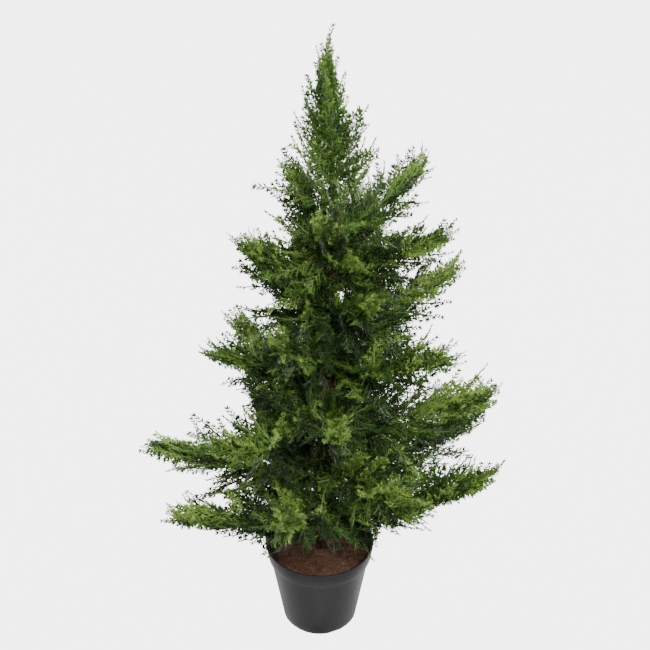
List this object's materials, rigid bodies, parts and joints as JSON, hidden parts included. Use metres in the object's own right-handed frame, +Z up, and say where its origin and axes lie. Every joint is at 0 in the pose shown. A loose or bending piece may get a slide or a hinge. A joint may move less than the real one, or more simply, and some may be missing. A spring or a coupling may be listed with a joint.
{
  "type": "artificial potted conifer",
  "caption": "Potted artificial cedar: bendable wired branches of flat evergreen sprays climb a bark-covered trunk set in a ballasted nursery pot.",
  "frame": {"origin": "centre of the pot's flat underside, on the surface it stands on", "axes": "+Z up along the pot's axis, -Y towards the front, +X to the right seen from the front"},
  "size_m": [0.476, 0.4007, 0.8981],
  "materials": {
    "pot_plastic": "satin",
    "cement": "matte",
    "coir": "matte",
    "rod_steel": "satin",
    "bark_plastic": "matte",
    "wire_plastic": "satin",
    "foliage": "satin"
  },
  "bodies": {
    "pot_and_trunk": {"nursery_pot": "pot_plastic", "ballast": "cement", "coir_fill": "coir", "trunk_rod": "rod_steel", "trunk_bark": "bark_plastic"},
    "branch_01": {"branch_01_wire": "wire_plastic", "branch_01_sprays": "foliage"},
    "branch_02": {"branch_02_wire": "wire_plastic", "branch_02_sprays": "foliage"},
    "branch_03": {"branch_03_wire": "wire_plastic", "branch_03_sprays": "foliage"},
    "branch_04": {"branch_04_wire": "wire_plastic", "branch_04_sprays": "foliage"},
    "branch_05": {"branch_05_wire": "wire_plastic", "branch_05_sprays": "foliage"},
    "branch_06": {"branch_06_wire": "wire_plastic", "branch_06_sprays": "foliage"},
    "branch_07": {"branch_07_wire": "wire_plastic", "branch_07_sprays": "foliage"},
    "branch_08": {"branch_08_wire": "wire_plastic", "branch_08_sprays": "foliage"},
    "branch_09": {"branch_09_wire": "wire_plastic", "branch_09_sprays": "foliage"},
    "branch_10": {"branch_10_wire": "wire_plastic", "branch_10_sprays": "foliage"},
    "branch_11": {"branch_11_wire": "wire_plastic", "branch_11_sprays": "foliage"},
    "branch_12": {"branch_12_wire": "wire_plastic", "branch_12_sprays": "foliage"},
    "branch_13": {"branch_13_wire": "wire_plastic", "branch_13_sprays": "foliage"},
    "branch_14": {"branch_14_wire": "wire_plastic", "branch_14_sprays": "foliage"},
    "branch_15": {"branch_15_wire": "wire_plastic", "branch_15_sprays": "foliage"},
    "branch_16": {"branch_16_wire": "wire_plastic", "branch_16_sprays": "foliage"},
    "branch_17": {"branch_17_wire": "wire_plastic", "branch_17_sprays": "foliage"},
    "branch_18": {"branch_18_wire": "wire_plastic", "branch_18_sprays": "foliage"},
    "branch_19": {"branch_19_wire": "wire_plastic", "branch_19_sprays": "foliage"},
    "branch_20": {"branch_20_wire": "wire_plastic", "branch_20_sprays": "foliage"},
    "branch_21": {"branch_21_wire": "wire_plastic", "branch_21_sprays": "foliage"},
    "branch_22": {"branch_22_wire": "wire_plastic", "branch_22_sprays": "foliage"},
    "branch_23": {"branch_23_wire": "wire_plastic", "branch_23_sprays": "foliage"},
    "branch_24": {"branch_24_wire": "wire_plastic", "branch_24_sprays": "foliage"},
    "branch_25": {"branch_25_wire": "wire_plastic", "branch_25_sprays": "foliage"},
    "branch_26": {"branch_26_wire": "wire_plastic", "branch_26_sprays": "foliage"},
    "leader": {"leader_wire": "wire_plastic", "leader_sprays": "foliage"}
  },
  "joints": [
    {"name": "branch_01_bend", "type": "hinge", "parent": "pot_and_trunk", "child": "branch_01", "pos_m": [-0.00758, -0.0039, 0.16532], "axis": [-0.3418, 0.9397, 0.0119], "range_deg": [-15, 20]},
    {"name": "branch_02_bend", "type": "hinge", "parent": "pot_and_trunk", "child": "branch_02", "pos_m": [0.0142, -0.00432, 0.18277], "axis": [-0.3823, -0.9239, 0.0134], "range_deg": [-15, 12]},
    {"name": "branch_03_bend", "type": "hinge", "parent": "pot_and_trunk", "child": "branch_03", "pos_m": [-0.00031, 0.01012, 0.20149], "axis": [0.9056, 0.4229, -0.0316], "range_deg": [-15, 20]},
    {"name": "branch_04_bend", "type": "hinge", "parent": "pot_and_trunk", "child": "branch_04", "pos_m": [0.00173, -0.01054, 0.21963], "axis": [-0.9533, 0.3003, 0.0333], "range_deg": [-15, 20]},
    {"name": "branch_05_bend", "type": "hinge", "parent": "pot_and_trunk", "child": "branch_05", "pos_m": [0.01514, 0.00547, 0.23737], "axis": [0.5002, -0.8658, -0.0175], "range_deg": [-15, 20]},
    {"name": "branch_06_bend", "type": "hinge", "parent": "pot_and_trunk", "child": "branch_06", "pos_m": [-0.00424, 0.00233, 0.25626], "axis": [0.2156, 0.9764, -0.0075], "range_deg": [-15, 20]},
    {"name": "branch_07_bend", "type": "hinge", "parent": "pot_and_trunk", "child": "branch_07", "pos_m": [0.01309, -0.00876, 0.27386], "axis": [-0.8182, -0.5742, 0.0286], "range_deg": [-15, 20]},
    {"name": "branch_08_bend", "type": "hinge", "parent": "pot_and_trunk", "child": "branch_08", "pos_m": [0.00896, 0.01049, 0.29222], "axis": [0.991, -0.1296, -0.0346], "range_deg": [-15, 20]},
    {"name": "branch_09_bend", "type": "hinge", "parent": "pot_and_trunk", "child": "branch_09", "pos_m": [0.00022, -0.00673, 0.31074], "axis": [-0.6432, 0.7653, 0.0225], "range_deg": [-15, 20]},
    {"name": "branch_10_bend", "type": "hinge", "parent": "pot_and_trunk", "child": "branch_10", "pos_m": [0.01918, -0.00044, 0.32828], "axis": [-0.0424, -0.9991, 0.0015], "range_deg": [-15, 20]},
    {"name": "branch_11_bend", "type": "hinge", "parent": "pot_and_trunk", "child": "branch_11", "pos_m": [0.00226, 0.00721, 0.34709], "axis": [0.7057, 0.7081, -0.0246], "range_deg": [-15, 20]},
    {"name": "branch_12_bend", "type": "hinge", "parent": "pot_and_trunk", "child": "branch_12", "pos_m": [0.01058, -0.01009, 0.36501], "axis": [-0.9984, -0.0451, 0.0349], "range_deg": [-15, 20]},
    {"name": "branch_13_bend", "type": "hinge", "parent": "pot_and_trunk", "child": "branch_13", "pos_m": [0.01716, 0.00765, 0.38299], "axis": [0.7666, -0.6415, -0.0268], "range_deg": [-15, 20]},
    {"name": "branch_14_bend", "type": "hinge", "parent": "pot_and_trunk", "child": "branch_14", "pos_m": [0.00163, -0.0013, 0.40174], "axis": [-0.1322, 0.9912, 0.0046], "range_deg": [-15, 20]},
    {"name": "branch_15_bend", "type": "hinge", "parent": "pot_and_trunk", "child": "branch_15", "pos_m": [0.02002, -0.00557, 0.41931], "axis": [-0.5717, -0.8202, 0.02], "range_deg": [-15, 20]},
    {"name": "branch_16_bend", "type": "hinge", "parent": "pot_and_trunk", "child": "branch_16", "pos_m": [0.01057, 0.00939, 0.43785], "axis": [0.9753, 0.2184, -0.0341], "range_deg": [-15, 20]},
    {"name": "branch_17_bend", "type": "hinge", "parent": "pot_and_trunk", "child": "branch_17", "pos_m": [0.00857, -0.00824, 0.45613], "axis": [-0.8666, 0.4981, 0.0303], "range_deg": [-15, 20]},
    {"name": "branch_18_bend", "type": "hinge", "parent": "pot_and_trunk", "child": "branch_18", "pos_m": [0.02287, 0.00284, 0.47385], "axis": [0.3027, -0.953, -0.0106], "range_deg": [-15, 20]},
    {"name": "branch_19_bend", "type": "hinge", "parent": "pot_and_trunk", "child": "branch_19", "pos_m": [0.00618, 0.00389, 0.49264], "axis": [0.4202, 0.9073, -0.0147], "range_deg": [-15, 20]},
    {"name": "branch_20_bend", "type": "hinge", "parent": "pot_and_trunk", "child": "branch_20", "pos_m": [0.01873, -0.00844, 0.51041], "axis": [-0.9223, -0.3851, 0.0322], "range_deg": [-15, 20]},
    {"name": "branch_21_bend", "type": "hinge", "parent": "pot_and_trunk", "child": "branch_21", "pos_m": [0.01891, 0.00848, 0.52862], "axis": [0.94, -0.3395, -0.0328], "range_deg": [-15, 20]},
    {"name": "branch_22_bend", "type": "hinge", "parent": "pot_and_trunk", "child": "branch_22", "pos_m": [0.0086, -0.00413, 0.54719], "axis": [-0.464, 0.8857, 0.0162], "range_deg": [-15, 20]},
    {"name": "branch_23_bend", "type": "hinge", "parent": "pot_and_trunk", "child": "branch_23", "pos_m": [0.0256, -0.00225, 0.56481], "axis": [-0.2558, -0.9667, 0.0089], "range_deg": [-15, 20]},
    {"name": "branch_24_bend", "type": "hinge", "parent": "pot_and_trunk", "child": "branch_24", "pos_m": [0.01308, 0.00729, 0.58345], "axis": [0.8412, 0.5399, -0.0294], "range_deg": [-15, 20]},
    {"name": "branch_25_bend", "type": "hinge", "parent": "pot_and_trunk", "child": "branch_25", "pos_m": [0.01693, -0.00842, 0.60153], "axis": [-0.9848, 0.1704, 0.0344], "range_deg": [-15, 20]},
    {"name": "branch_26_bend", "type": "hinge", "parent": "pot_and_trunk", "child": "branch_26", "pos_m": [0.02568, 0.00515, 0.61943], "axis": [0.6111, -0.7913, -0.0213], "range_deg": [-15, 20]},
    {"name": "leader_bend", "type": "hinge", "parent": "pot_and_trunk", "child": "leader", "pos_m": [0.02026, 0, 0.65515], "axis": [0, 1, 0], "range_deg": [-20, 20]}
  ]
}
